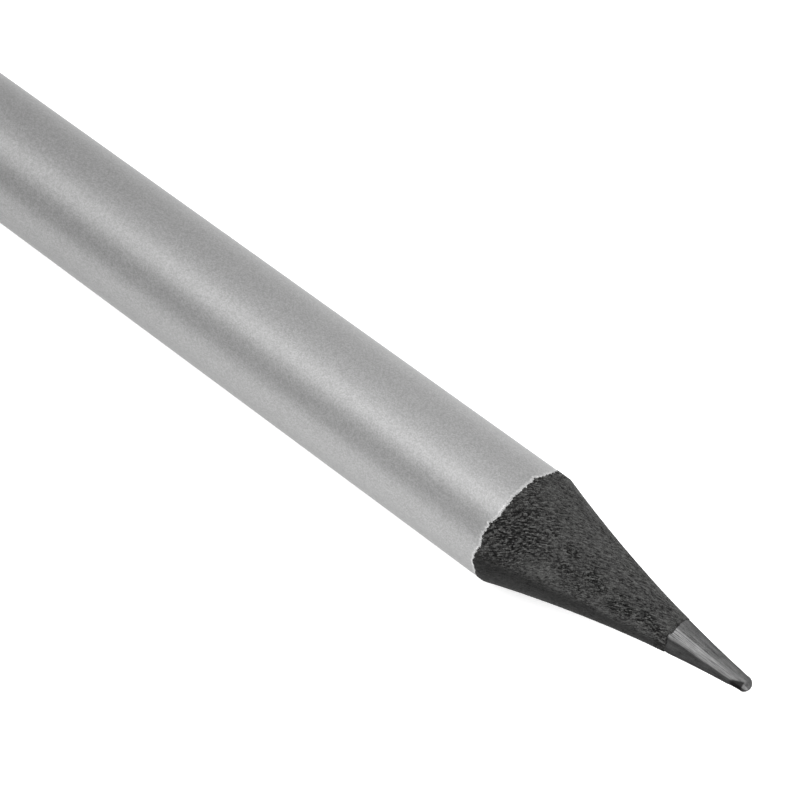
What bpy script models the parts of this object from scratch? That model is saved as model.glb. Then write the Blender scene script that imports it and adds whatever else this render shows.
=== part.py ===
"""A round carpenter's pencil, sharpened at the works: a clay and graphite lead between two glued wooden
slats, under a pale ground coat and a silver lacquer.

The pencil lies along X on the plane z = 0 with its point towards +X, and the origin is on that plane
under the middle of its length. Units are metres.
"""

import math

import bmesh
import bpy

MM = 0.001

# Driving dimensions
LENGTH = 175 * MM  # rear face to the tip of the lead
BARREL_RADIUS = 3.6 * MM  # over the lacquer
LEAD_RADIUS = 1.05 * MM
SILVER_COAT = 0.06 * MM  # thickness of the silver lacquer
GROUND_COAT = 0.04 * MM  # thickness of the pale coat under it
GLUE_THICKNESS = 0.06 * MM  # in the seam between the slats, and round the lead
GAP = 0.02 * MM  # left between neighbouring pieces

# The point, in distances ahead of the lacquer's front edge. It is ground hollow by a sanding drum, so
# its side is an arc that curves in towards the lead.
POINT_LENGTH = 15.66 * MM  # lacquer edge to tip
DRUM_RADIUS = 75 * MM
HOLLOW_START = (1.02 * MM, 3.49 * MM)  # distance ahead of the lacquer edge, radius
HOLLOW_END = (15.16 * MM, 0.445 * MM)
SHOULDER_START = 0.32 * MM  # where the bare wood begins to round over into the hollow
SHOULDER_CREASE = 0.68 * MM  # where the hollow would meet the barrel with no rounding
TIP_RADIUS = 0.45 * MM
WOOD_FEATHER = 0.04 * MM  # wall left where the wood runs out against the lead
GLUE_FEATHER = 0.02 * MM  # the same, where the glue's sleeve runs out
LEAD_RECESS = 0.05 * MM  # the lead breaks off just inside the sawn rear face

# Fineness of the facets
SIDES = 64  # round the axis; a multiple of 4 puts a flat facet underneath
SEAM_FACETS = 3  # the seam between the slats is rolled this many facets from level, its -Y edge up
HOLLOW_STEPS = 10
SHOULDER_STEPS = 3
TIP_STEPS = 5

# Places along X
REAR = -LENGTH / 2
TIP = LENGTH / 2
LACQUER_EDGE = TIP - POINT_LENGTH

# Radii of the layers, from the outside in
SILVER_INNER = BARREL_RADIUS - SILVER_COAT
GROUND_OUTER = SILVER_INNER - GAP
GROUND_INNER = GROUND_OUTER - GROUND_COAT
WOOD_RADIUS = GROUND_INNER - GAP
GLUE_INNER = LEAD_RADIUS + GAP
GLUE_OUTER = GLUE_INNER + GLUE_THICKNESS
GROOVE_RADIUS = GLUE_OUTER + GAP
SLAT_FACE = GLUE_THICKNESS / 2 + GAP  # from the seam's middle plane to a slat's flat face
SEAM_ROLL = -SEAM_FACETS * 2 * math.pi / SIDES  # about X


def clear_scene():
    for obj in list(bpy.data.objects):
        bpy.data.objects.remove(obj)


def finish(name, colour, roughness, metallic=0.0):
    """A Principled material."""
    material = bpy.data.materials.new(name)
    material.use_nodes = True
    shader = material.node_tree.nodes["Principled BSDF"]
    shader.inputs["Base Color"].default_value = (*colour, 1)
    shader.inputs["Roughness"].default_value = roughness
    shader.inputs["Metallic"].default_value = metallic
    return material


def drum_centre():
    """The centre of the arc of DRUM_RADIUS through the two ends of the hollow, outside the pencil."""
    (x0, r0), (x1, r1) = HOLLOW_START, HOLLOW_END
    half_chord = math.hypot(x1 - x0, r1 - r0) / 2
    rise = math.sqrt(DRUM_RADIUS**2 - half_chord**2)
    across = ((r0 - r1) / (2 * half_chord), (x1 - x0) / (2 * half_chord))
    return (x0 + x1) / 2 + rise * across[0], (r0 + r1) / 2 + rise * across[1]


def hollow_radius(ahead):
    """Radius of the ground point at a distance ahead of the lacquer's edge."""
    centre_x, centre_r = drum_centre()
    return centre_r - math.sqrt(DRUM_RADIUS**2 - (ahead - centre_x) ** 2)


def hollow_ahead(radius):
    """The distance ahead of the lacquer's edge where the hollow has this radius."""
    centre_x, centre_r = drum_centre()
    return centre_x - math.sqrt(DRUM_RADIUS**2 - (centre_r - radius) ** 2)


def hollow_points(first, last, steps):
    """(x, radius) along the hollow between two distances ahead of the lacquer's edge."""
    stations = [first + (last - first) * i / steps for i in range(steps + 1)]
    return [(LACQUER_EDGE + ahead, hollow_radius(ahead)) for ahead in stations]


def shoulder_points():
    """The bare wood's round shoulder: a quadratic curve from the barrel's side to the hollow's start."""
    a, b, c = (SHOULDER_START, BARREL_RADIUS), (SHOULDER_CREASE, BARREL_RADIUS), HOLLOW_START
    points = []
    for i in range(SHOULDER_STEPS):
        t = i / SHOULDER_STEPS
        weights = ((1 - t) ** 2, 2 * t * (1 - t), t**2)
        ahead = sum(w * p[0] for w, p in zip(weights, (a, b, c)))
        radius = sum(w * p[1] for w, p in zip(weights, (a, b, c)))
        points.append((LACQUER_EDGE + ahead, radius))
    return points


def wood_side():
    """The wood's outer side: straight under the coats, flush with the lacquer ahead of them, then ground."""
    bare = LACQUER_EDGE + GAP
    last = hollow_ahead(GROOVE_RADIUS + WOOD_FEATHER)
    return [
        (REAR, WOOD_RADIUS),
        (bare, WOOD_RADIUS),
        (bare, BARREL_RADIUS),
        *shoulder_points(),
        *hollow_points(HOLLOW_START[0], last, HOLLOW_STEPS),
    ]


def turned(name, outline, material):
    """A body turned about X from a closed outline of (x, radius), with flat facets at that radius."""
    start = math.pi / SIDES
    mesh = bpy.data.meshes.new(name)
    form = bmesh.new()
    corners = []
    for x, radius in outline:
        reach = radius / math.cos(start)
        corners.append(form.verts.new((x, reach * math.cos(start), reach * math.sin(start))))
    edges = [form.edges.new((a, b)) for a, b in zip(corners, corners[1:] + corners[:1])]
    bmesh.ops.spin(
        form, geom=corners + edges, cent=(0, 0, 0), axis=(1, 0, 0), angle=2 * math.pi, steps=SIDES
    )
    bmesh.ops.remove_doubles(form, verts=form.verts, dist=1e-7)
    bmesh.ops.dissolve_degenerate(form, edges=form.edges, dist=1e-7)
    bmesh.ops.recalc_face_normals(form, faces=form.faces)
    form.to_mesh(mesh)
    form.free()
    mesh.shade_smooth()
    mesh.set_sharp_from_angle(angle=math.radians(30))
    return placed(name, mesh, material)


def seam_block(name, low, high, material=None):
    """A box between two corners, rolled about the pencil's axis with the seam."""
    mesh = bpy.data.meshes.new(name)
    form = bmesh.new()
    bmesh.ops.create_cube(form, size=1)
    for vertex in form.verts:
        for axis in range(3):
            vertex.co[axis] = low[axis] if vertex.co[axis] < 0 else high[axis]
    form.to_mesh(mesh)
    form.free()
    box = placed(name, mesh, material)
    box.rotation_euler.x = SEAM_ROLL
    return box


def placed(name, mesh, material):
    obj = bpy.data.objects.new(name, mesh)
    bpy.context.scene.collection.objects.link(obj)
    if material:
        mesh.materials.append(material)
    obj.parent = bpy.data.objects["pencil_axis"]
    return obj


def hide(obj):
    """Marks a shape that only cuts others."""
    obj.hide_render = True
    obj.display_type = "WIRE"
    return obj


def combine(obj, other, operation):
    modifier = obj.modifiers.new(other.name, "BOOLEAN")
    modifier.operation = operation
    modifier.object = other


def make_axis():
    """An empty at the middle of the pencil's axis, which every piece is parented to."""
    axis = bpy.data.objects.new("pencil_axis", None)
    axis.location = (0, 0, BARREL_RADIUS)
    bpy.context.scene.collection.objects.link(axis)


def make_lead():
    """The core: a rod from just inside the rear face, ground with the wood and rounded at the tip."""
    first = hollow_ahead(LEAD_RADIUS)
    tip_centre = TIP - TIP_RADIUS
    tip_start = math.acos((LACQUER_EDGE + HOLLOW_END[0] - tip_centre) / TIP_RADIUS)
    tip = [tip_start * (1 - i / TIP_STEPS) for i in range(1, TIP_STEPS + 1)]
    outline = [
        (REAR + LEAD_RECESS, 0),
        (REAR + LEAD_RECESS, LEAD_RADIUS),
        *hollow_points(first, HOLLOW_END[0], HOLLOW_STEPS),
        *[(tip_centre + TIP_RADIUS * math.cos(a), TIP_RADIUS * math.sin(a)) for a in tip],
    ]
    turned("graphite_lead", outline, finish("graphite", (0.12, 0.12, 0.125), 0.38, 0.4))


def make_slats():
    """The casing: two slats, each with a half-round groove, that meet at the seam."""
    wood = finish("black_dyed_wood", (0.045, 0.044, 0.043), 0.8)
    side = wood_side()
    outline = [(REAR, GROOVE_RADIUS), *side, (side[-1][0], GROOVE_RADIUS)]
    reach = 2 * BARREL_RADIUS
    all_below = ((-LENGTH, -reach, -reach), (LENGTH, reach, SLAT_FACE))
    all_above = ((-LENGTH, -reach, -SLAT_FACE), (LENGTH, reach, reach))
    for name, (low, high) in (("upper_slat", all_below), ("lower_slat", all_above)):
        slat = turned(name, outline, wood)
        combine(slat, hide(seam_block(name + "_cutter", low, high)), "DIFFERENCE")


def make_glue():
    """The film of glue: two wings in the seam, joined by a sleeve round the lead that is ground with the wood."""
    front = wood_side()[-1][0]
    reach = 2 * BARREL_RADIUS
    half = GLUE_THICKNESS / 2
    glue = finish("dried_glue", (0.10, 0.09, 0.08), 0.5)
    film = seam_block("glue_film", (REAR, -reach, -half), (front, reach, half), glue)
    blank = turned("glue_blank", [(REAR - GAP, 0), *wood_blank(), (front + GAP, 0)], None)
    ground = hollow_points(hollow_ahead(GLUE_OUTER), hollow_ahead(GLUE_INNER + GLUE_FEATHER), 1)
    sleeve = turned("glue_sleeve", [(REAR, 0), (REAR, GLUE_OUTER), *ground, (ground[-1][0], 0)], None)
    bore = turned("glue_bore", tube_outline(REAR - GAP, TIP, 0, GLUE_INNER), None)
    combine(film, hide(blank), "INTERSECT")
    combine(film, hide(sleeve), "UNION")
    combine(film, hide(bore), "DIFFERENCE")


def wood_blank():
    """The wood's outer side, run on a little past both ends so that it trims a film cleanly."""
    side = wood_side()
    return [(side[0][0] - GAP, side[0][1]), *side, (side[-1][0] + GAP, side[-1][1])]


def tube_outline(first, last, inner, outer):
    return [(first, inner), (first, outer), (last, outer), (last, inner)]


def make_coats():
    """The two coats, each an open tube from the rear face to the lacquer's edge."""
    ground = finish("ground_coat", (0.72, 0.72, 0.70), 0.6)
    silver = finish("silver_lacquer", (0.42, 0.42, 0.42), 0.36, 0.7)
    outline = tube_outline(REAR, LACQUER_EDGE, GROUND_INNER, GROUND_OUTER)
    turned("ground_coat", outline, ground)
    outline = tube_outline(REAR, LACQUER_EDGE, SILVER_INNER, BARREL_RADIUS)
    turned("silver_coat", outline, silver)


def main():
    clear_scene()
    make_axis()
    make_lead()
    make_slats()
    make_glue()
    make_coats()


main()
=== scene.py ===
# %% [markdown]
# # A round silver pencil with a black point
#
# A wooden pencil is a lead between two glued slats, under a ground coat and a coloured lacquer. At the
# works its point is ground on a sanding drum, which leaves the side slightly hollow, tears the wood a
# little and frays the front edge of the lacquer. Most of the character is in that frayed, torn zone, so
# that is where this lesson spends its geometry.

# %% Load the fixed frame
import math

import bmesh
import bpy
from mathutils import Matrix, Vector


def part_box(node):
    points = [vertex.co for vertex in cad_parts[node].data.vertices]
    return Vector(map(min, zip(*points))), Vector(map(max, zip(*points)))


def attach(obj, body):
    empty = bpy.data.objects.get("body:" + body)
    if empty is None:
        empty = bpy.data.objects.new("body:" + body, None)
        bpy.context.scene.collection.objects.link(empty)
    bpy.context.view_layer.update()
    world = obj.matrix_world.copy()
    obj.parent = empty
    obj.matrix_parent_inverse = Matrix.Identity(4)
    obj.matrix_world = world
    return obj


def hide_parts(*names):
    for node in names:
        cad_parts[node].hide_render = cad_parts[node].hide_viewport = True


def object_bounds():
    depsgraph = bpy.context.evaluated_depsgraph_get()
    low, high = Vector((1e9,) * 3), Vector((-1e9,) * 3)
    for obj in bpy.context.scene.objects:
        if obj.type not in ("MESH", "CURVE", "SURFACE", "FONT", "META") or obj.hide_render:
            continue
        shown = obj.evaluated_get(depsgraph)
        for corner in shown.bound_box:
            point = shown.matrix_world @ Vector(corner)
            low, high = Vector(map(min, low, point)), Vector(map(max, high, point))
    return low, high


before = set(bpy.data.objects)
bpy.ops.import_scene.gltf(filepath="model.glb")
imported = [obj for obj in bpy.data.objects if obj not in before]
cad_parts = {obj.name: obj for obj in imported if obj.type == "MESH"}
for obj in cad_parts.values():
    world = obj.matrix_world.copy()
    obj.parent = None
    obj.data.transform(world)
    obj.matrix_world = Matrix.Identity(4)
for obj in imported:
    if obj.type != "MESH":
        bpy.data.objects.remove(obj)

MM = 0.001
cad_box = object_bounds()
print("frame:", ", ".join(sorted(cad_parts)))

# %% [markdown]
# ## Sizes
#
# Every place comes from the frame: the barrel's radius, the lacquer's edge, the ends of the wood and the
# lead. Only the shape of the ground point is said again here, as the same arc that the frame was cut to.
# Distances *ahead* are measured from the lacquer's edge towards the tip, and *roll* angles run round the
# axis from +Y through +Z.

# %% Places and radii from the frame
barrel_radius = (cad_box[1].z - cad_box[0].z) / 2
axis_height = (cad_box[1].z + cad_box[0].z) / 2
rear = cad_box[0].x
tip = cad_box[1].x
lacquer_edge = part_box("silver_coat")[1].x
ground_radius = (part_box("ground_coat")[1].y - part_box("ground_coat")[0].y) / 2
lead_low, lead_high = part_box("graphite_lead")
lead_radius = (lead_high.y - lead_low.y) / 2
lead_rear = lead_low.x
point_length = tip - lacquer_edge
print(f"barrel {2 * barrel_radius / MM:.2f} mm and lead {2 * lead_radius / MM:.2f} mm across")
print(f"the bare point is {point_length / MM:.2f} mm long")

# %% The ground point's arc
drum_radius = 75 * MM
hollow_start = (1.02 * MM, 3.49 * MM)  # ahead, radius
hollow_end = (15.16 * MM, 0.445 * MM)
shoulder_start = 0.32 * MM  # where the shoulder leaves the barrel's side
shoulder_crease = 0.68 * MM  # where its two straight sides would meet
tip_radius = 0.45 * MM


def drum_centre():
    """Centre of the drum's arc through the two ends of the hollow, as (ahead, radius)."""
    (x0, r0), (x1, r1) = hollow_start, hollow_end
    half_chord = math.hypot(x1 - x0, r1 - r0) / 2
    rise = math.sqrt(drum_radius**2 - half_chord**2)
    across = ((r0 - r1) / (2 * half_chord), (x1 - x0) / (2 * half_chord))
    return (x0 + x1) / 2 + rise * across[0], (r0 + r1) / 2 + rise * across[1]


def hollow_ahead(radius):
    """How far ahead of the lacquer's edge the hollow has this radius."""
    centre_x, centre_r = drum_centre()
    return centre_x - math.sqrt(drum_radius**2 - (centre_r - radius) ** 2)


print(f"the lead comes out of the wood {hollow_ahead(lead_radius) / MM:.2f} mm ahead of the lacquer")

# %% [markdown]
# ## A wrapper for node maths
#
# Shader and geometry trees are easier to read as sums. `Wire` holds one socket, and its operators add the
# Math node that does the work, so `1 - mask` means what it says in either kind of tree.

# %% The wrapper
class Wire:
    """One output socket of a node tree, with Python's operators on it."""

    def __init__(self, tree, socket):
        self.tree = tree
        self.socket = socket

    def node(self, kind, settings=None, out=0, **sockets):
        return add_node(self.tree, kind, settings, out, **sockets)

    def math(self, operation, *others):
        values = {f"i{n}": v for n, v in enumerate((self, *others))}
        return self.node("ShaderNodeMath", {"operation": operation}, **values)

    def vector(self, operation, *others):
        values = {f"i{n}": v for n, v in enumerate((self, *others))}
        return self.node("ShaderNodeVectorMath", {"operation": operation}, **values)

    def beside(self, out):
        """Another output of the same node."""
        return Wire(self.tree, [s for s in self.socket.node.outputs if s.enabled][out])

    def __add__(self, other):
        return self.math("ADD", other)

    def __radd__(self, other):
        return self.math("ADD", other)

    def __sub__(self, other):
        return self.math("SUBTRACT", other)

    def __rsub__(self, other):
        return Wire.constant(self.tree, other).math("SUBTRACT", self)

    def __mul__(self, other):
        return self.math("MULTIPLY", other)

    def __rmul__(self, other):
        return self.math("MULTIPLY", other)

    def __truediv__(self, other):
        return self.math("DIVIDE", other)

    def __pow__(self, other):
        return self.math("POWER", other)

    def __neg__(self):
        return self.math("MULTIPLY", -1)

    def at_least(self, other):
        return self.math("MAXIMUM", other)

    def at_most(self, other):
        return self.math("MINIMUM", other)

    def step(self, low, high):
        """0 below low, 1 above high, and a smooth step between them."""
        settings = {"interpolation_type": "SMOOTHSTEP"}
        return self.node("ShaderNodeMapRange", settings, i0=self, i1=low, i2=high, i3=0, i4=1)

    @staticmethod
    def constant(tree, value):
        """A plain number as a wire, for the subtraction whose first term is a number."""
        return add_node(tree, "ShaderNodeMath", {"operation": "ADD"}, i0=value, i1=0)


def add_node(tree, kind, settings=None, out=0, **sockets):
    """Adds a node, sets its settings first, then feeds its sockets by index (i0, i1, ...) or by name."""
    node = tree.nodes.new(kind)
    for name, value in (settings or {}).items():
        setattr(node, name, value)
    shown = [s for s in node.inputs if s.enabled]
    for name, value in sockets.items():
        number = name[1:] if name[0] == "i" and name[1:].isdigit() else None
        wanted = name.replace("_", " ").lower()
        socket = shown[int(number)] if number else next(s for s in shown if s.name.lower() == wanted)
        if isinstance(value, Wire):
            tree.links.new(value.socket, socket)
        else:
            socket.default_value = value
    return Wire(tree, [s for s in node.outputs if s.enabled][out])


# %% [markdown]
# ### Noise in either kind of tree
#
# Both the shapes and the finishes read the same kinds of noise: in stretched coordinates for anything that
# runs with the grain, and on a circle for anything that goes round the axis and has to close on itself.

# %% Noise helpers
def stretched(where, x, y, z):
    """Coordinates in millimetres, scaled along each axis."""
    return where.vector("MULTIPLY", (x / MM, y / MM, z / MM))


def circle_place(roll, size=1.0, along=0.0):
    """A place on a circle for each roll angle, so that noise read there closes on itself."""
    x = roll.math("COSINE") * size
    y = roll.math("SINE") * size
    return roll.node("ShaderNodeCombineXYZ", x=x, y=y, z=along)


def noise(where, scale=1.0, detail=2.0, roughness=0.5):
    """Soft noise, mostly between 0.3 and 0.7."""
    return where.node("ShaderNodeTexNoise", vector=where, scale=scale, detail=detail, roughness=roughness)


# %% [markdown]
# ## Camera
#
# A long lens close to the point, looking down from the front and one side. The point comes towards the
# camera, so the barrel narrows a little as it leaves.

# %% Camera
azimuth = math.radians(41.0)
elevation = math.radians(56.04)
lens = 130.3
sensor = 36.0
away = 43.5 * barrel_radius  # from the camera's plane to the axis at the lacquer's edge
edge_right = 0.1464  # that point's place from the view's middle, as a share of the view's width
edge_down = 0.154

right = Vector((math.cos(azimuth), math.sin(azimuth), 0))
back = Vector((
    math.sin(azimuth) * math.cos(elevation),
    -math.cos(azimuth) * math.cos(elevation),
    math.sin(elevation),
))
up = back.cross(right)
view_width = sensor / lens * away
edge_middle = Vector((lacquer_edge, 0, axis_height))
aim = edge_middle - right * edge_right * view_width + up * edge_down * view_width

camera = bpy.data.objects.new("camera", bpy.data.cameras.new("camera"))
bpy.context.scene.collection.objects.link(camera)
camera.data.lens = lens
camera.data.sensor_width = sensor
camera.data.clip_start = 1 * MM
camera.matrix_world = Matrix((
    (right.x, up.x, back.x, aim.x + away * back.x),
    (right.y, up.y, back.y, aim.y + away * back.y),
    (right.z, up.z, back.z, aim.z + away * back.z),
    (0, 0, 0, 1),
))
bpy.context.scene.camera = camera
print(f"the camera is {away / MM:.0f} mm from the lacquer's edge")

# %% [markdown]
# ## Floor and light
#
# A plain white light table. It glows a little, which is how a studio keeps a small object's shadow off a
# white ground.

# %% Floor
floor_reach = 3.0
corners = ((-1, -1), (1, -1), (1, 1), (-1, 1))
floor_corners = [(x * floor_reach, y * floor_reach, cad_box[0].z) for x, y in corners]
floor_mesh = bpy.data.meshes.new("floor")
floor_mesh.from_pydata(floor_corners, [], [(0, 1, 2, 3)])
floor = bpy.data.objects.new("floor", floor_mesh)
bpy.context.scene.collection.objects.link(floor)

floor_paint = bpy.data.materials.new("floor_paint")
floor_paint.use_nodes = True
floor_looks = {
    "Base Color": (0.92, 0.92, 0.92, 1),
    "Roughness": 0.9,
    "Specular IOR Level": 0.1,
    "Emission Color": (1, 1, 1, 1),
    "Emission Strength": 0.57,
}
for label, value in floor_looks.items():
    floor_paint.node_tree.nodes["Principled BSDF"].inputs[label].default_value = value
floor_mesh.materials.append(floor_paint)
print(f"floor: {2 * floor_reach:.0f} m square at z = {cad_box[0].z / MM:.2f} mm")

# %% [markdown]
# ### The surround
#
# A pale room that is brighter overhead and, like a room with a window, on the +Y side. A metallic lacquer
# shows its surroundings more than its own colour, so these two patches are most of the barrel's shading.

# %% Surround
sky_everywhere = 0.75
sky_overhead = 0.85
sky_window = 0.5
window_towards = (0, 0.993, 0.12)

surround = bpy.data.worlds.new("surround")
bpy.context.scene.world = surround
surround.use_nodes = True
background = surround.node_tree.nodes["Background"]
background.inputs["Color"].default_value = (1, 1, 1, 1)
direction = add_node(surround.node_tree, "ShaderNodeTexCoord")
overhead = direction.vector("DOT_PRODUCT", (0, 0, 1)).step(0.6, 0.95)
window = direction.vector("DOT_PRODUCT", window_towards).step(0.45, 0.95)
sky = sky_everywhere + sky_overhead * overhead + sky_window * window
surround.node_tree.links.new(sky.socket, background.inputs["Strength"])
bpy.context.scene.view_settings.view_transform = "Standard"
print(f"surround: {sky_everywhere} everywhere, {sky_everywhere + sky_overhead} overhead")

# %% [markdown]
# ### The strip light
#
# One long soft strip draws the light band along the lacquer. The band lies where the surface throws the
# view into the strip, so the strip is placed by that bounce: the view's direction, mirrored along the
# barrel and turned twice as far round it as the band is from the line that faces the camera.

# %% Strip light
def softbox(name, towards, distance, size, power):
    """A rectangular light, its first side along X, that faces the lacquer's edge."""
    light = bpy.data.lights.new(name, "AREA")
    light.shape = "RECTANGLE"
    light.size, light.size_y = size
    light.energy = power
    obj = bpy.data.objects.new(name, light)
    bpy.context.scene.collection.objects.link(obj)
    towards = Vector(towards).normalized()
    across = towards.cross(Vector((1, 0, 0))).normalized()
    side = across.cross(towards)
    place = edge_middle + towards * distance
    obj.matrix_world = Matrix((
        (side.x, across.x, towards.x, place.x),
        (side.y, across.y, towards.y, place.y),
        (side.z, across.z, towards.z, place.z),
        (0, 0, 0, 1),
    ))


view_roll = math.atan2(back.z, back.y)  # roll of the normal that faces the camera
band_turn = math.radians(-1.75)  # from there to the light band's middle
throw_roll = view_roll + 2 * band_turn
throw_reach = math.hypot(back.y, back.z)
throw = (-back.x, math.cos(throw_roll) * throw_reach, math.sin(throw_roll) * throw_reach)
softbox("strip", towards=throw, distance=0.7, size=(1.6, 0.42), power=2.6)
print(f"the normal that faces the camera is rolled {math.degrees(view_roll):.0f} degrees from +Y")

# %% [markdown]
# ## Trees that make geometry
#
# The turned pieces share one idea: a short outline of (x, radius) points, and a grid whose rows are those
# points and whose columns go round the axis. That could be a Screw modifier, but a tree can also move each
# ring by the roll angle, which is what frays an edge.

# %% Making and running a geometry tree
def new_tree(name, **inputs):
    """A geometry tree with a named input for each size and one for the paint, and the inputs' wires."""
    tree = bpy.data.node_groups.new(name, "GeometryNodeTree")
    tree.interface.new_socket("Geometry", in_out="INPUT", socket_type="NodeSocketGeometry")
    kinds = {int: "NodeSocketInt", float: "NodeSocketFloat"}
    for label, value in inputs.items():
        socket = tree.interface.new_socket(label, in_out="INPUT", socket_type=kinds[type(value)])
        socket.default_value = value
    tree.interface.new_socket("Paint", in_out="INPUT", socket_type="NodeSocketMaterial")
    tree.interface.new_socket("Geometry", in_out="OUTPUT", socket_type="NodeSocketGeometry")
    entry = tree.nodes.new("NodeGroupInput")
    return tree, {s.name: Wire(tree, s) for s in entry.outputs if s.name}


def end_tree(tree, shape, paint):
    """Ends a tree in Realize Instances and Set Material."""
    shape = shape.node("GeometryNodeRealizeInstances", i0=shape)
    shape = shape.node("GeometryNodeSetMaterial", geometry=shape, material=paint)
    exit_node = tree.nodes.new("NodeGroupOutput")
    tree.links.new(shape.socket, exit_node.inputs[0])


def grow(name, mesh, tree, **inputs):
    """Runs a tree on a mesh with these inputs, and keeps the result as a plain mesh."""
    obj = bpy.data.objects.new(name, mesh)
    bpy.context.scene.collection.objects.link(obj)
    modifier = obj.modifiers.new(tree.name, "NODES")
    modifier.node_group = tree
    for item in tree.interface.items_tree:
        if item.in_out == "INPUT" and item.name in inputs:
            modifier[item.identifier] = inputs[item.name]
    evaluated = obj.evaluated_get(bpy.context.evaluated_depsgraph_get())
    grown = bpy.data.meshes.new_from_object(evaluated)
    obj.modifiers.remove(modifier)
    obj.data = grown
    grown.name = name
    print(f"{name}: {len(grown.vertices)} points, {len(grown.polygons)} faces")
    return obj


def outline_mesh(name, points, **channels):
    """A string of points (x, 0, radius) with a named value for each point."""
    mesh = bpy.data.meshes.new(name)
    mesh.from_pydata([(x, 0, radius) for x, radius in points], [], [])
    for label, values in channels.items():
        attribute = mesh.attributes.new(label, "FLOAT", "POINT")
        attribute.data.foreach_set("value", values)
    return mesh


# %% [markdown]
# ### The revolving grid
#
# The grid's columns run once round the axis and its last column lies on its first, so the two are merged,
# and so is a row of radius 0, which closes a pole.

# %% The revolving grid
weld_reach = 1e-7  # metres, far less than any gap between rings


def sample_row(outline, row, value, kind="FLOAT"):
    """A value of the outline's point at each grid row."""
    settings = {"data_type": kind}
    return outline.node("GeometryNodeSampleIndex", settings, geometry=outline, value=value, index=row)


def row_place(outline, row):
    """The x and the radius of the outline's point at each grid row."""
    place = sample_row(outline, row, outline.node("GeometryNodeInputPosition"), "FLOAT_VECTOR")
    return [place.node("ShaderNodeSeparateXYZ", out=n, vector=place) for n in (0, 2)]


def store(shape, label, value):
    """Keeps a value at each point under a name, for the finishes to read."""
    return shape.node("GeometryNodeStoreNamedAttribute", geometry=shape, name=label, value=value)


def revolve(outline, sides):
    """A grid round the axis: its geometry, and for each of its points the outline row and the roll angle."""
    rows = outline.node("GeometryNodeAttributeDomainSize", geometry=outline)
    grid = outline.node("GeometryNodeMeshGrid", vertices_x=rows, vertices_y=sides + 1)
    index = outline.node("GeometryNodeInputIndex")
    row = (index / (sides + 1) + 0.0001).math("FLOOR")  # 0.0001 keeps whole numbers from rounding down
    column = index - row * (sides + 1)
    return grid, row, column / sides * (2 * math.pi)


def place_ring(shape, x, radius, roll, shift=0.0):
    """Moves each point to its place round the axis, and joins the seam and the poles."""
    y = radius * roll.math("COSINE") + shift * off_y
    z = radius * roll.math("SINE") + shift * off_z + axis_height
    place = shape.node("ShaderNodeCombineXYZ", x=x, y=y, z=z)
    shape = shape.node("GeometryNodeSetPosition", geometry=shape, position=place)
    shape = shape.node("GeometryNodeMergeByDistance", geometry=shape, distance=weld_reach)
    return shape.node("GeometryNodeFlipFaces", mesh=shape)  # rolled up this way, the grid faces the axis


# %% [markdown]
# ## How true the point is
#
# No pencil goes through the drum quite true, and no lead lies quite in the middle of its wood. Here the
# point and the lead in it sit a little to one side of the barrel's axis, more so at the tip, which leaves
# the lacquer's edge farther back on that side. Two straight lines say it: one for the cone, and one for the
# lead, which starts true at the rear end and meets the cone's middle where it comes out of the wood.

# %% How far off the axis the point is
off_centre = 0.10 * MM  # at the shoulder
off_centre_tip = 0.20 * MM
off_roll = view_roll - math.pi / 2
off_y, off_z = math.cos(off_roll), math.sin(off_roll)
lead_from = hollow_ahead(lead_radius)


def ground_shift(ahead):
    """How far the drum's cone is off the barrel's axis, at a place ahead of the lacquer's edge."""
    return off_centre + ahead * ((off_centre_tip - off_centre) / point_length)


def lead_shift(ahead):
    """The same for the lead."""
    return (ahead + (lacquer_edge - rear)) * (ground_shift(lead_from) / (lead_from + lacquer_edge - rear))


print(f"the cone is {ground_shift(lead_from) / MM:.2f} mm off the axis where the lead comes out")

# %% [markdown]
# ## The frayed edge
#
# The drum leaves the lacquer's front edge a little out of square, with one step where the two slats meet,
# a shallow bay beside it, and fine teeth where the film broke over the open grain. The lacquer, the
# ground coat and the bare wood all have to follow the same line, so it is one function of the roll angle.

# %% The line that the coats and the wood share
seam_roll = math.pi - 3 * math.pi / 32  # the seam between the slats, on the side towards -Y


def near_roll(roll, centre, width):
    """1 at a roll angle, falling to 0 at width to either side. Angles are in radians."""
    return (roll - centre).math("COSINE").step(math.cos(width), 1)


def past_roll(roll, centre, width):
    """0 on the -Y upper side of a roll angle, 1 below it for a quarter turn, with a step of this width."""
    return (roll - centre).math("SINE").step(-math.sin(width), math.sin(width))


def near_view(roll, turn, width):
    """The same with both angles in degrees, and the turn counted from the roll that faces the camera."""
    return near_roll(roll, view_roll + math.radians(turn), math.radians(width))


def fray(roll):
    """How far ahead of its square place the lacquer's edge lies, at each roll angle."""
    trip = circle_place(roll)
    slow = noise(trip, 2.6, 1.0) - 0.5
    teeth = noise(trip, 32.0, 2.0, 0.6) - 0.5
    slant = (roll - view_roll + math.radians(45)).math("COSINE")
    tongue = near_view(roll, -66, 22)
    hem = near_view(roll, 88, 30)
    bay = near_view(roll, 21, 16)
    notch = near_roll(roll, seam_roll + math.radians(6), math.radians(13))
    waves = 0.13 * slant + 0.1 * slow + 0.46 * teeth
    return (waves - 0.03 + 0.24 * tongue + 0.1 * hem - 0.2 * bay - 0.15 * notch) * MM


def rim(roll):
    """How much of the ground coat shows ahead of the lacquer, at each roll angle."""
    broken = noise(circle_place(roll, along=5.0), 18.0, 2.0).step(0.35, 0.65)
    shown = near_view(roll, -15, 85)
    return (0.01 + (0.03 + 0.05 * broken) * shown) * MM


# %% [markdown]
# ## The coats
#
# The silver lacquer is sprayed over a pale ground coat, and both are films of a few hundredths of a
# millimetre. A shell modifier on the wood would give films without a lip, and the lip is what shows, so
# each coat is a closed thin tube, turned from an outline that goes up the outside and back down the inside.
# Only the last stretch before the edge is moved by the fray.

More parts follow.
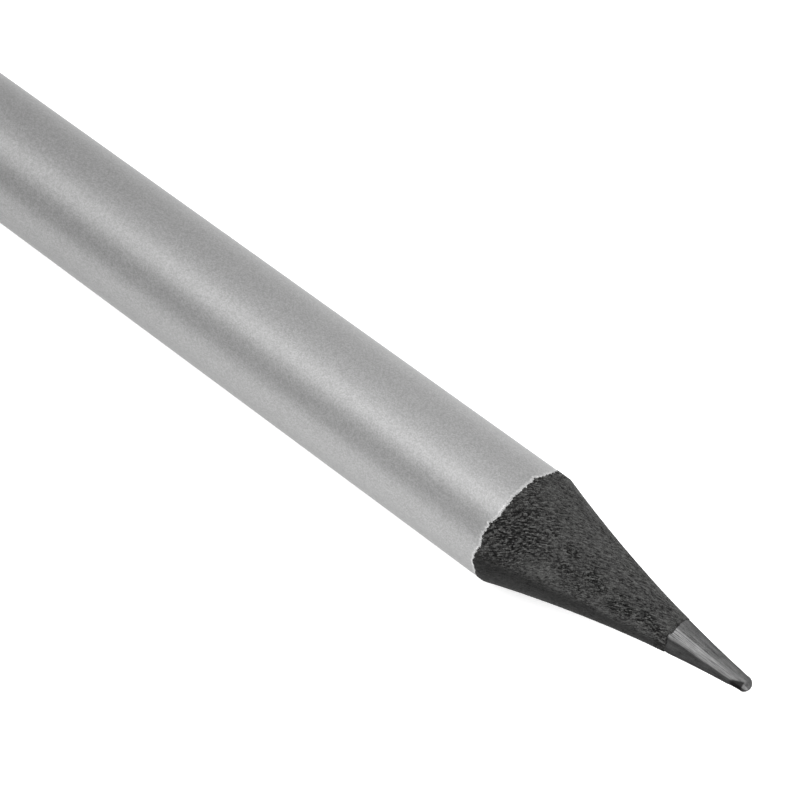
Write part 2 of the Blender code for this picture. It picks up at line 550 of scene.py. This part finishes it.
# %% A tree for the two coats
coat_tree, wires = new_tree("frayed_coat", Sides=512, Edge=0.0, Reach=0.6 * MM, Worn_reach=0.16 * MM)
outline = wires["Geometry"]
grid, row, roll = revolve(outline, wires["Sides"])
x, radius = row_place(outline, row)
share = sample_row(outline, row, outline.node("GeometryNodeInputNamedAttribute", name="rim"))
near_edge = x.step(wires["Edge"] - wires["Reach"], wires["Edge"] - 0.1 * MM)
# The band before the edge that the lacquer's colour makes pale: partly wear, partly a painted highlight.
grid = store(grid, "worn_edge_sheen", x.step(wires["Edge"] - wires["Worn_reach"], wires["Edge"]))
x = x + near_edge * fray(roll) + share * rim(roll)
shape = place_ring(grid, x, radius, roll)
shape = shape.node("GeometryNodeSetShadeSmooth", geometry=shape, shade_smooth=True)
end_tree(coat_tree, shape, wires["Paint"])


# %% The coats' outlines
front_reach = 1.2 * MM  # the stretch before the edge that has close rings
front_rings = 40
long_rings = 24


def coat_outline(name, inner, outer, lip):
    """A thin tube's closed outline: up the rear end, along the outside, round the lip and back inside."""
    corner = 0.2 * (outer - inner)
    front = lacquer_edge
    front_steps = [front - front_reach * (1 - n / front_rings) for n in range(front_rings)]
    back_in = [front - front_reach * (1 - n / front_rings) for n in range(front_rings, -1, -4)]
    points = [(rear, inner), (rear, outer - corner), (rear + corner, outer)]
    points += [(rear + (front - front_reach - rear) * n / long_rings, outer) for n in range(1, long_rings)]
    points += [(x, outer) for x in front_steps]
    shares = [0.0] * len(points)
    for ahead, radius, share in lip:
        points.append((front + ahead, radius))
        shares.append(share)
    points += [(x, inner) for x in back_in]
    shares += [0.0] * len(back_in)
    points.append(points[0])
    shares.append(0.0)
    return outline_mesh(name, points, rim=shares)


# Each lip is a few points of (ahead, radius, share of the rim's reach).
film = barrel_radius - ground_radius  # the lacquer with the gap under it
silver_inner = barrel_radius - 0.75 * film
silver_lip = [
    (0.0 * MM, barrel_radius, 0),
    (0.016 * MM, barrel_radius - 0.010 * MM, 0),
    (0.022 * MM, barrel_radius - 0.03 * MM, 0),
    (0.022 * MM, silver_inner, 0),
]
silver_outline = coat_outline("silver_outline", silver_inner, barrel_radius, silver_lip)

rim_top = barrel_radius - 0.006 * MM
ground_inner = ground_radius - 0.04 * MM
ground_lip = [
    (0.026 * MM, ground_radius, 0),
    (0.028 * MM, rim_top - 0.01 * MM, 0),
    (0.036 * MM, rim_top, 0.1),
    (0.026 * MM, rim_top - 0.006 * MM, 1),
    (0.034 * MM, rim_top - 0.05 * MM, 1),
    (0.034 * MM, ground_inner, 1),
]
ground_outline = coat_outline("ground_outline", ground_inner, ground_radius, ground_lip)
print(f"the silver is {(barrel_radius - silver_inner) / MM:.3f} mm thick")
print(f"the ground coat is {(ground_radius - ground_inner) / MM:.3f} mm thick")

# %% [markdown]
# ## Finishes
#
# Each material is written before the piece that wears it, because a tree's last node sets it.

# %% Starting a finish
def new_paint(name, **constants):
    """A Principled material: constants go straight on the shader's sockets. Gives its shader and position."""
    paint = bpy.data.materials.new(name)
    paint.use_nodes = True
    shader = paint.node_tree.nodes["Principled BSDF"]
    for label, value in constants.items():
        shader.inputs[label.replace("_", " ")].default_value = value
    where = add_node(paint.node_tree, "ShaderNodeTexCoord", out=3)
    return paint, shader, where


def feed(shader, label, wire):
    """Links a wire to one of the shader's inputs."""
    wire.tree.links.new(wire.socket, shader.inputs[label])


def read(where, label):
    """A value that a geometry tree stored on the piece."""
    return where.node("ShaderNodeAttribute", {"attribute_name": label}, out=2)


def bump(height, strength, distance):
    """A normal bent by a height, whose full depth is the distance."""
    return height.node("ShaderNodeBump", strength=strength, distance=distance, height=height)


def mix_colour(factor, low, high):
    """A colour between two, each given as a wire, a grey level or (red, green, blue)."""
    def colour(end):
        if isinstance(end, Wire):
            return end
        return (end, end, end, 1) if isinstance(end, float) else (*end, 1)

    return factor.node("ShaderNodeMix", {"data_type": "RGBA"}, factor=factor, a=colour(low), b=colour(high))


# %% [markdown]
# ### Silver lacquer
#
# Aluminium flakes in a clear lacquer: a soft gloss that is mostly metal, with a fine sparkle of brighter
# flakes and slow clouds where they lie thicker. Voronoi cells give each flake its own tilt and shade, and
# stay the same size all along the barrel. Over its last 50 mm before the edge the colour is painted a
# little brighter, as painted light that grows towards the point. Its last stretch before the edge is
# pale: partly lacquer worn thin, partly a painted highlight where the edge catches the light.

# %% Silver lacquer
def silver_paint():
    paint, shader, where = new_paint("silver_lacquer", Metallic=0.75, Coat_Weight=0.15, Coat_Roughness=0.22,
                                     Specular_Tint=(0.5, 0.5, 0.5, 1))
    lit_reach = 50 * MM
    flakes_per_mm = 16.0
    at = stretched(where, 1, 1, 1)
    flake = at.node("ShaderNodeTexVoronoi", vector=at, scale=flakes_per_mm)
    tint = at.node("ShaderNodeTexVoronoi", out=1, vector=at, scale=flakes_per_mm)
    bright = tint.node("ShaderNodeSeparateXYZ", vector=tint)
    cloud = noise(at, 5.0, 3.0, 0.6)
    # Painted light: the colour grows brighter over the last 50 mm before the lacquer's edge.
    lit_towards_point = (where.node("ShaderNodeSeparateXYZ", vector=where) - lacquer_edge).step(-lit_reach, 0)
    tone = 0.5 * bright + 0.5 * cloud + 0.4 * (lit_towards_point - 0.8)
    worn_edge_sheen = read(where, "worn_edge_sheen")
    flakes = mix_colour(tone, 0.20, 0.36)
    # Pale before the edge: partly lacquer worn thin, partly a painted highlight where the edge catches light.
    feed(shader, "Base Color", mix_colour(1.2 * worn_edge_sheen * worn_edge_sheen * (cloud - 0.2), flakes, 0.75))
    feed(shader, "Roughness", 0.34 + 0.14 * cloud)
    feed(shader, "Normal", bump(bright * 0.6 + flake, 0.25, 0.01 * MM))
    return paint


# %% [markdown]
# ### Ground coat
#
# Chalk and pigment in a thin matt paint. It only shows as the pale broken rim, so it has nothing but a
# fine grain.

# %% Ground coat
def ground_paint():
    paint, shader, where = new_paint("ground_coat", Roughness=0.6)
    grain = noise(stretched(where, 1, 1, 1), 14.0, 2.0)
    feed(shader, "Base Color", mix_colour(grain, 0.35, 0.7))
    feed(shader, "Normal", bump(grain, 0.4, 0.01 * MM))
    return paint


# %% Turning the coats
silver = grow("silver_lacquer", silver_outline, coat_tree, Edge=lacquer_edge, Paint=silver_paint())
ground = grow("ground_coat_film", ground_outline, coat_tree, Edge=lacquer_edge, Paint=ground_paint())
for coat, node, slot in ((silver, "silver_coat", "silver_lacquer"), (ground, "ground_coat", "ground_coat")):
    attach(coat, "root")
    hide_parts(node)

# %% [markdown]
# ## The slats
#
# Each slat is a half-round shell of wood, so its blank is built point by point: rings of points along the
# outside, one ring at each end of the groove, and one flat face on either side of the seam. The rings are
# close together on the bare point, where the tree needs points to carve, and far apart under the lacquer.

# %% The wood's outline
wood_radius = ground_inner - 0.01 * MM
groove_radius = lead_radius + 0.02 * MM
wood_end = hollow_ahead(groove_radius + 0.006 * MM)
seam_gap = 0.012 * MM  # half the glue line


def hollow_radius(ahead):
    """The hollow's radius at a place ahead of the lacquer's edge."""
    centre_x, centre_r = drum_centre()
    return centre_r - math.sqrt(drum_radius**2 - (ahead - centre_x) ** 2)


def shoulder_point(t):
    """The round shoulder: a quadratic curve from the barrel's side to the start of the hollow."""
    corners = ((shoulder_start, barrel_radius), (shoulder_crease, barrel_radius), hollow_start)
    weights = ((1 - t) ** 2, 2 * t * (1 - t), t**2)
    return tuple(sum(w * c[i] for w, c in zip(weights, corners)) for i in (0, 1))


bare_edge = 0.055 * MM  # where the bare wood starts, ahead of the lacquer's square place
bare_corner = 0.02 * MM  # how blunt its front edge is
ring_gap = 0.042 * MM
covered_reach = 1.3 * MM  # the stretch under the lacquer's edge that moves with the fray
covered_rings = 12
rear_rings = 20
shoulder_rings = 17

covered = lacquer_edge - rear
rear_places = [-covered * (1 - n / rear_rings) ** 1.6 - covered_reach for n in range(rear_rings)]
rear_places[0] = -covered
rear_places += [-covered_reach + covered_reach * n / covered_rings for n in range(covered_rings)]
wood_outline = [(ahead, wood_radius) for ahead in rear_places]
wood_outline += [(bare_edge, wood_radius), (bare_edge + bare_corner / 5, barrel_radius - bare_corner)]
wood_outline += [(bare_edge + bare_corner + n * ring_gap, barrel_radius) for n in range(6)]
wood_outline += [shoulder_point(n / shoulder_rings) for n in range(shoulder_rings)]
rings = round((wood_end - hollow_start[0]) / ring_gap)
hollow_places = [hollow_start[0] + (wood_end - hollow_start[0]) * n / rings for n in range(rings + 1)]
wood_outline += [(ahead, hollow_radius(ahead)) for ahead in hollow_places]
print(f"wood: {len(wood_outline)} rings")


# %% A slat's blank
def closed_mesh(name, points, faces):
    """A mesh whose faces all point outwards."""
    mesh = bpy.data.meshes.new(name)
    mesh.from_pydata(points, [], faces)
    form = bmesh.new()
    form.from_mesh(mesh)
    bmesh.ops.recalc_face_normals(form, faces=form.faces)
    form.to_mesh(mesh)
    form.free()
    return mesh


def slat_blank(name, upper):
    """A half-round shell on one side of the seam, with skin = 1 where its outside is bare."""
    columns = 288
    rolls = [math.pi * n / columns for n in range(columns + 1)]
    rise = Vector((0, math.cos(seam_roll + math.pi / 2), math.sin(seam_roll + math.pi / 2)))
    along = Vector((0, math.cos(seam_roll), math.sin(seam_roll)))
    if upper:
        rise = -rise

    def ring(x, radius):
        edge = math.asin(seam_gap / radius)
        spread = [edge + (math.pi - 2 * edge) * r / math.pi for r in rolls]
        middle = Vector((lacquer_edge + x, 0, axis_height))
        return [middle + radius * (math.cos(r) * along + math.sin(r) * rise) for r in spread]

    points = [p for x, radius in wood_outline for p in ring(x, radius)]
    count = columns + 1
    first_inner = len(points)
    rear_inner, front_inner = first_inner, first_inner + count
    points += ring(wood_outline[0][0], groove_radius) + ring(wood_outline[-1][0], groove_radius)
    last_outer = first_inner - count
    faces = []

    def strip(low, high):
        for n in range(columns):
            faces.append((low + n, low + n + 1, high + n + 1, high + n))

    for r in range(len(wood_outline) - 1):
        strip(r * count, (r + 1) * count)
    strip(last_outer, front_inner)
    strip(front_inner, rear_inner)
    strip(rear_inner, 0)
    for n in (0, columns):
        outside = [r * count + n for r in range(len(wood_outline))]
        faces.append([*outside, front_inner + n, rear_inner + n])
    mesh = closed_mesh(name, points, faces)
    bare_from = next(n for n, (x, radius) in enumerate(wood_outline) if radius > wood_radius) * count
    skin = mesh.attributes.new("skin", "FLOAT", "POINT")
    skin.data.foreach_set("value", [float(bare_from <= i < first_inner) for i in range(len(points))])
    return mesh


# %% [markdown]
# ## Carving the wood
#
# Wood is a bundle of tubes. Where the drum cut across them they are open pits, long and narrow because
# the cut is so slanting; near the lacquer the fibres were torn rather than cut, and stand up as crumbs
# and splinters. One tree carves all of that into the blank and scatters the splinters over it.

# %% Where things are on the wood
def wood_place(where):
    """A point's distance ahead of the lacquer's edge, its radius and its roll angle, as wires."""
    parts = [where.node("ShaderNodeSeparateXYZ", out=n, vector=where) for n in range(3)]
    rise = parts[2] - axis_height
    radius = (parts[1] * parts[1] + rise * rise).math("SQRT")
    roll = rise.math("ARCTAN2", parts[1])
    return parts[0] - lacquer_edge, radius, roll


def pores(where):
    """How deep in an open pore a point is, from 0 to 1. Pores are long along the pencil."""
    at = stretched(where, 2.2, 6.5, 6.5)
    far = at.node("ShaderNodeTexVoronoi", vector=at, scale=1.0)
    cell = at.node("ShaderNodeTexVoronoi", out=1, vector=at, scale=1.0)
    chosen = cell.node("ShaderNodeSeparateXYZ", vector=cell).step(0.35, 0.45)
    return (1 - far.step(0.10, 0.38)) * chosen


def smooth_and_shaded_flank(roll):
    """1 on the side below the seam, where the cut ran with the grain and left the wood smooth, and where
    the wood's colour is painted darker, as painted shade.
    """
    return past_roll(roll, seam_roll - math.radians(3), math.radians(9))


def torn(where, ahead, roll):
    """How torn the wood is, from 0 to 1.

    It is torn in a band ahead of the lacquer, in a ridge of patches along the cone, and in the last bit
    before the lead. It is least torn below the seam.
    """
    patch = noise(stretched(where, 0.6, 0.9, 0.9), 1.0, 2.0).step(0.42, 0.60)
    facing = near_view(roll, 18, 66)
    band = 1 - ahead.step(0.2 * MM + 1.2 * MM * facing, 0.9 * MM + 3.0 * MM * facing)
    slide = (ahead / MM - 5.5).at_most(0) * math.radians(7)  # the ridge bends upwards near the lacquer
    ridge = near_view(roll - slide, 12, 25)
    ridge = ridge * ahead.step(1.4 * MM, 3.2 * MM) * noise(stretched(where, 1.3, 1.6, 1.6)).step(0.42, 0.56)
    last = ahead.step(wood_end - 0.9 * MM, wood_end - 0.2 * MM) * near_view(roll, 48, math.degrees(1.0))
    most = band * (0.6 + 0.4 * patch) + 0.65 * ridge + 0.3 * patch
    return (most * (1 - 0.8 * smooth_and_shaded_flank(roll)) + 0.7 * last).at_most(1)


def twisted(where, ahead, along, across, rate):
    """Coordinates that wind round the axis, so that a grain along them crosses the wood slantwise."""
    turned = where.node("ShaderNodeVectorRotate", {"rotation_type": "X_AXIS"}, vector=where,
                        center=(0, 0, axis_height), angle=ahead * (rate / MM))
    return stretched(turned, along, across, across)


# %% [markdown]
# ### The carving tree
#
# A stack of displacement modifiers would need a texture each. One tree can take everything off in one cut:
# it works out how far the cone lies from the axis at each point, takes the pits, tears and grain off that,
# and leaves the points whose skin is 0 on their own radius. Both ends of the bare wood are moved along the
# pencil first: the rear one with the lacquer's fray, and the front one back from the lead in ragged bites.

# %% Where each point goes along the pencil
carve_tree, wires = new_tree("carved_slat", Pore_depth=0.05 * MM, Tear_depth=0.09 * MM, Grain_depth=0.02 * MM,
                             Fray_reach=1.1 * MM, Tear_back=0.26 * MM, Splinters=9.0,
                             Splinter_width=0.04 * MM, Seed=4)
blank = wires["Geometry"]
skin = blank.node("GeometryNodeInputNamedAttribute", name="skin")
where = blank.node("GeometryNodeInputPosition")
ahead, radius, roll = wood_place(where)
near_edge = ahead.step(-wires["Fray_reach"], -0.1 * MM) * (1 - ahead.step(0.45 * MM, 1.2 * MM))
near_end = ahead.step(wood_end - 1.3 * MM, wood_end - 0.05 * MM)
end_trip = circle_place(roll, along=2.0)
end_wave = noise(end_trip, 2.3, 1.0) - 0.5
end_teeth = noise(end_trip, 9.0, 2.0, 0.6) - 0.5
dip = 0.4 * near_view(roll, 15, 12) + 0.7 * near_view(roll, 92, 34)
tear_back = wires["Tear_back"] * (0.1 + 0.8 * end_wave + 1.1 * end_teeth + dip).at_least(0)
moved = ahead + near_edge * (fray(roll) + rim(roll)) - near_end * tear_back

# %% The drum's cut, off the axis, with a rounded shoulder where it leaves the barrel
shoulder_round = 0.05 * MM
uncut = 0.01 * MM  # how far outside the barrel the shoulder's smooth minimum stops
skin_rise = 0.02 * MM  # the mean depth of the grain, put back so that the cone keeps its size

centre_x, centre_r = drum_centre()
hollow = centre_r - (drum_radius**2 - (moved - centre_x) ** 2).math("SQRT")
cut_y = hollow * roll.math("COSINE") + ground_shift(moved) * off_y
cut_z = hollow * roll.math("SINE") + ground_shift(moved) * off_z
cut = (cut_y * cut_y + cut_z * cut_z).math("SQRT")
cut_now = cut.math("SMOOTH_MIN", barrel_radius + uncut, shoulder_round)

# %% What the cut tore out
pit = pores(where)
tear = torn(where, ahead, roll)
crumbs = noise(twisted(where, ahead, 5.2, 10.5, 0.2), 1.0, 2.0, 0.6)
cracks = noise(twisted(where, ahead, 1.6, 10.0, 0.5), 1.0, 1.0)
hole = (1 - crumbs.step(0.42, 0.51)).at_least(0.8 * (1 - cracks.step(0.26, 0.34)))
grain = noise(stretched(where, 1.3, 11.0, 11.0), 1.0, 2.0)
scratch = noise(twisted(where, ahead, 3.0, 12.0, 0.2), 1.0, 2.0, 0.6)
bite = wires["Pore_depth"] * pit * (0.35 + 0.65 * tear)
bite = bite + wires["Tear_depth"] * tear * hole
bite = bite + wires["Grain_depth"] * (grain + scratch)
cut_now = (cut_now + skin_rise - bite * (1 - 0.75 * near_end)) / cut

# %% Moving the points
bore_shift = lead_shift(ahead) * ahead.step(0, wood_end)
rest_y = radius * roll.math("COSINE") + bore_shift * off_y
rest_z = radius * roll.math("SINE") + bore_shift * off_z
place_y = rest_y + skin * (cut_y * cut_now - rest_y)
place_z = rest_z + skin * (cut_z * cut_now - rest_z) + axis_height
place = blank.node("ShaderNodeCombineXYZ", x=moved + lacquer_edge, y=place_y, z=place_z)
marked = blank
# pit, hole and crumb are read only by the wood's colour: painted shade in pits and holes, painted light on
# crumbs.
for label, value in (("pit", skin * pit), ("torn", skin * tear), ("hole", skin * hole * tear),
                     ("crumb", skin * crumbs.step(0.54, 0.66) * tear)):
    marked = store(marked, label, value)
carved = marked.node("GeometryNodeSetPosition", geometry=marked, position=place)
carved = carved.node("GeometryNodeSetShadeSmooth", geometry=carved, shade_smooth=True)

# %% [markdown]
# ### Splinters
#
# Where the wood is torn most, a few fibres stand up. Each is a thin five-sided cone that leans along the
# pencil, out of the wood and a little against the way the drum turned. They are scattered with a fixed
# seed, and only where the tear is deep.

# %% Scattering the splinters
lean_out = 0.3
lean_round = -0.6
lean_along = 0.8

torn_here = blank.node("GeometryNodeInputNamedAttribute", name="torn")
spots = carved.node("GeometryNodeDistributePointsOnFaces", mesh=carved, seed=wires["Seed"],
                    density=torn_here.step(0.45, 0.8) * wires["Splinters"] / MM**2)
normal = spots.beside(1)
sliver = blank.node("GeometryNodeMeshCone", vertices=5, radius_bottom=wires["Splinter_width"] / 2,
                    depth=wires["Splinter_width"] * 4)
sweep = normal.vector("CROSS_PRODUCT", (1, 0, 0))
lean = normal.vector("MULTIPLY", (lean_out,) * 3).vector("ADD", sweep.vector("MULTIPLY", (lean_round,) * 3))
lean = lean.vector("ADD", (lean_along, 0, 0))
turn = lean.node("FunctionNodeAlignRotationToVector", {"axis": "Z"}, vector=lean)
size = blank.node("FunctionNodeRandomValue", {"data_type": "FLOAT"}, min=0.5, max=1.3, seed=wires["Seed"])
slivers = spots.node("GeometryNodeInstanceOnPoints", points=spots, instance=sliver, rotation=turn, scale=size)
whole = carved.node("GeometryNodeJoinGeometry", geometry=carved)
whole.tree.links.new(slivers.socket, whole.socket.node.inputs[0])  # the join's one socket takes both
end_tree(carve_tree, whole, wires["Paint"])


# %% [markdown]
# ### Black wood
#
# The wood is dyed black through. On the point it shows fine slanting dashes of grain. Its colour has painted
# shade, darkest in the holes and the open pores and dark and even on the side below the seam, and painted
# light on the loose crumbs beside the holes. On the sawn rear end it shows growth rings, which are circles
# round the tree's heart. The attributes that the tree stored put each of these exactly where the geometry
# has it.

# %% Black wood
def wood_paint():
    paint, shader, where = new_paint("black_wood", Specular_IOR_Level=0.12)
    pit, hole, crumb, tear = (read(where, label) for label in ("pit", "hole", "crumb", "torn"))
    ahead, _, roll = wood_place(where)
    point = ahead.step(-1.0 * MM, 0)
    heart = (rear, 9 * MM, -14 * MM)  # where the middle of the tree was
    from_heart = where.vector("SUBTRACT", heart).vector("MULTIPLY", (0, 1 / MM, 1 / MM)).vector("LENGTH")
    rings = (from_heart * 9 + 2 * noise(stretched(where, 1, 0.6, 0.6))).math("SINE")
    dash = noise(twisted(where, ahead, 2.8, 12.0, 0.2), 1.0, 2.0, 0.6) - 0.5
    grit = noise(stretched(where, 12.0, 17.0, 17.0), 1.0, 1.0) - 0.5
    broad = noise(stretched(where, 0.5, 1.2, 1.2), 1.0, 2.0) - 0.5
    tone = 0.37 + (2.2 * dash + 1.3 * grit) * (0.75 + 0.5 * tear) + 0.4 * broad
    # Painted shade: darker in the holes, the pores and, on the point, below the seam; painted light on the
    # crumbs.
    tone = tone * (1 - 0.95 * hole) * (1 - 0.8 * pit) * (1 - 0.74 * smooth_and_shaded_flank(roll) * point) + 0.35 * crumb
    tone = tone + 0.12 * rings * (1 - point)
    feed(shader, "Base Color", mix_colour(tone, 0.002, (0.12, 0.12, 0.117)))
    feed(shader, "Roughness", 0.75 + 0.5 * dash)
    feed(shader, "Normal", bump(dash + 0.7 * grit, 0.9, 0.03 * MM))
    return paint


# %% Carving both slats
black_wood = wood_paint()
for node, upper in (("upper_slat", True), ("lower_slat", False)):
    slat = grow("carved_" + node, slat_blank("carved_" + node, upper), carve_tree, Paint=black_wood)
    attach(slat, "root")
    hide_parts(node)

# %% [markdown]
# ## The glue
#
# All that shows of the glue is a dark hairline where the slats meet, on the point and on the rear end. It
# is one body: a sleeve round the lead with two thin wings. Seen end on, its outside is the same distance
# round each half, so it can be built in rings like the slats, with the wing as a spike in each ring.

# %% The glue's rings
clear = 0.004 * MM  # between the glue and what it touches
arc_steps = 24


def glue_ring(ahead, outer):
    """Points round one section: from the seam along a wing, round the sleeve, and so on back to the start."""
    sleeve = groove_radius - clear
    bore = lead_radius + clear
    quarter = [(r, math.asin(seam_gap / r)) for r in (outer, (outer + sleeve) / 2, sleeve)]
    first = quarter[-1][1]
    arc = [(sleeve, first + (math.pi - 2 * first) * n / arc_steps) for n in range(1, arc_steps)]
    half = quarter + arc + [(r, math.pi - a) for r, a in reversed(quarter)]
    both = half + [(r, a + math.pi) for r, a in half]

    def place(radius, angle):
        reach = (radius - bore) / (outer - bore)
        shift = (1 - reach) * lead_shift(ahead) + reach * (ground_shift(ahead) if ahead > 0 else 0)
        return Vector((
            lacquer_edge + ahead,
            radius * math.cos(angle + seam_roll) + shift * off_y,
            radius * math.sin(angle + seam_roll) + shift * off_z + axis_height,
        ))

    return [place(r, a) for r, a in both], [place(bore, a) for r, a in both]


def glue_mesh():
    """The rings joined into one closed tube: forward along the outside and back along the bore."""
    sunk = 0.03 * MM  # below the wood's skin, where the pores would otherwise leave it standing proud
    stations = [(rear - lacquer_edge, wood_radius - sunk), (0.02 * MM, wood_radius - sunk)]
    stations += [(0.12 * MM, barrel_radius - 2 * sunk), (0.5 * MM, barrel_radius - 2 * sunk)]
    stops = [hollow_start[0] + (wood_end - 0.25 * MM - hollow_start[0]) * n / 24 for n in range(25)]
    stations += [(ahead, hollow_radius(ahead) - sunk) for ahead in stops]
    sections = [glue_ring(*station) for station in stations]
    count = len(sections[0][0])
    loops = [section[0] for section in sections] + [section[1] for section in reversed(sections)]
    points = [p for loop in loops for p in loop]
    faces = []
    for n in range(len(loops)):
        here, there = n * count, (n + 1) % len(loops) * count
        for k in range(count):
            on = (k + 1) % count
            faces.append((here + k, here + on, there + on, there + k))
    return points, faces


def glue_paint():
    paint, shader, where = new_paint("dark_glue", Roughness=0.45)
    cloud = noise(stretched(where, 1.5, 9, 9), 1.0, 3.0)
    feed(shader, "Base Color", mix_colour(cloud, (0.012, 0.011, 0.010), (0.05, 0.045, 0.04)))
    feed(shader, "Normal", bump(cloud, 0.4, 0.01 * MM))
    return paint


glue = bpy.data.objects.new("glue_line", closed_mesh("glue_line", *glue_mesh()))
bpy.context.scene.collection.objects.link(glue)
glue.data.materials.append(glue_paint())
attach(glue, "root")
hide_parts("glue_film")
print(f"glue: {len(glue.data.polygons)} faces")

# %% [markdown]
# ## The lead
#
# Clay and graphite, fired hard: a plain rod inside the wood, and outside it the tip of the same hollow
# cone. The drum scratches it finely along the point. The tip is blunt, and has one chip out of the side
# that faces down and forward. The rod is turned from an outline like the coats, and the tree takes the
# scratches and the chip off its radius.

# %% The lead's outline
lead_rings = 96
tip_rings = 18
plain_from = 8.5 * MM  # from here the rod has rings, so that its shift to one side follows a curve
plain_gap = 0.1 * MM

tip_middle = point_length - tip_radius
tip_start = math.acos((hollow_end[0] - tip_middle) / tip_radius)
tip_turns = [tip_start * (1 - n / tip_rings) for n in range(1, tip_rings + 1)]
plain_places = [plain_from + n * plain_gap for n in range(int((lead_from - plain_from) / plain_gap))]
lead_places = [lead_from + (hollow_end[0] - lead_from) * n / lead_rings for n in range(lead_rings + 1)]
lead_outline = [(lead_rear - lacquer_edge, 0), (lead_rear - lacquer_edge, lead_radius), (0, lead_radius)]
lead_outline += [(ahead, lead_radius) for ahead in plain_places]
lead_outline += [(ahead, hollow_radius(ahead)) for ahead in lead_places]
lead_outline += [(tip_middle + tip_radius * math.cos(a), tip_radius * math.sin(a)) for a in tip_turns]
lead_outline = [(lacquer_edge + ahead, radius) for ahead, radius in lead_outline]
print(f"lead: {len(lead_outline)} rings")

# %% The lead's tree
chip_rear = (14.46 * MM, 14.8 * MM)  # ahead: where the chip starts and is at its full depth
chip_front = (15.28 * MM, 15.37 * MM)  # where it is still that deep and where it stops
chip_hinge = 14.62  # mm ahead, where its upper side is at Chip_roll
chip_slant = math.radians(48)  # how much that side turns with each mm

lead_tree, wires = new_tree("ground_lead", Sides=224, Streak_depth=0.010 * MM, Chip_depth=0.035 * MM,
                            Chip_roll=view_roll + math.radians(26))
outline = wires["Geometry"]
grid, row, roll = revolve(outline, wires["Sides"])
x, radius = row_place(outline, row)
ahead = x - lacquer_edge
ground_part = ahead.step(lead_from - 0.2 * MM, lead_from + 0.2 * MM)
hollow_part = ground_part * (1 - ahead.step(hollow_end[0] - 0.3 * MM, hollow_end[0] + 0.1 * MM))
streak = noise(circle_place(roll, 6, ahead * (0.35 / MM)), 1.0, 3.0, 0.6) - 0.5
radius = radius - hollow_part * wires["Streak_depth"] * streak * 2
slide = (ahead / MM - chip_hinge) * chip_slant
chip = ahead.step(*chip_rear) * (1 - ahead.step(*chip_front))
chip = chip * past_roll(roll + slide, wires["Chip_roll"], math.radians(8))
chip = chip * near_view(roll, 42, 70).step(0.0, 0.3)
radius = radius - wires["Chip_depth"] * chip
shift = ground_shift(ahead).at_least(lead_shift(ahead))
# The chip's mark also paints its hollow nearly black in the graphite, as painted shade.
shape = place_ring(store(grid, "chip", chip), x, radius, roll, shift)
shape = shape.node("GeometryNodeSetShadeSmooth", geometry=shape, shade_smooth=True)
end_tree(lead_tree, shape, wires["Paint"])

# %% [markdown]
# ### Graphite
#
# A soft dark metal to the eye, finely streaked where the drum scraped it. A painted highlight runs along
# one line, where the streaks are painted brightest too; below it the side has painted shade, a darker and
# even copy of the same colour. The chip's hollow is painted nearly black, as painted shade. The streaks
# are noise read on a circle, so they run along the point and meet round it.

# %% Graphite
def graphite_paint():
    paint, shader, where = new_paint("graphite", Metallic=1.0, Specular_Tint=(0.35, 0.35, 0.35, 1))
    ahead, _, roll = wood_place(where)
    point = ahead.step(0, 1 * MM)
    trip = circle_place(roll, 9, ahead * (0.5 / MM))
    streak = noise(trip, 1.0, 3.0, 0.6)
    fine = noise(trip.vector("MULTIPLY", (2.4, 2.4, 1.2)), 1.0, 2.0, 0.6)
    streaks = (streak + 2 * fine - 1.5) * point
    cloud = noise(stretched(where, 1.5, 4, 4), 1.0, 2.0)
    grains = noise(stretched(where, 16, 16, 16), 1.0, 2.0) - 0.5
    edge = roll + 0.25 * (noise(stretched(where, 1.2, 3, 3), 1.0, 2.0) - 0.5)
    # Painted shade: the side below this edge gets a darker, even copy of the lead's colour.
    painted_shade_side = past_roll(edge, view_roll + math.radians(10), math.radians(4)) * point
    # Painted highlight: lighter, with brighter streaks, in a band 8 degrees round from the roll facing the
    # camera.
    painted_highlight = near_view(roll, -8, 22) * point
    tone = 0.40 + streaks * (0.5 + 1.5 * painted_highlight) + 0.8 * (cloud - 0.5) + 0.8 * grains + 0.55 * painted_highlight
    lit_side_colour = mix_colour(0.75 * tone, 0.05, 0.24)
    shaded_side_colour = mix_colour(tone, 0.02, 0.085)
    whole = mix_colour(painted_shade_side, lit_side_colour, shaded_side_colour)
    # The chip's hollow is painted nearly black: painted shade.
    feed(shader, "Base Color", mix_colour(0.9 * read(where, "chip"), whole, 0.012))
    feed(shader, "Roughness", 0.28 + 0.1 * streaks + 0.08 * painted_shade_side + 0.1 * cloud)
    feed(shader, "Normal", bump(streaks + 0.5 * grains, 0.6, 0.02 * MM))
    return paint


lead = grow("ground_lead", outline_mesh("lead_outline", lead_outline), lead_tree, Paint=graphite_paint())
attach(lead, "root")
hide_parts("graphite_lead")
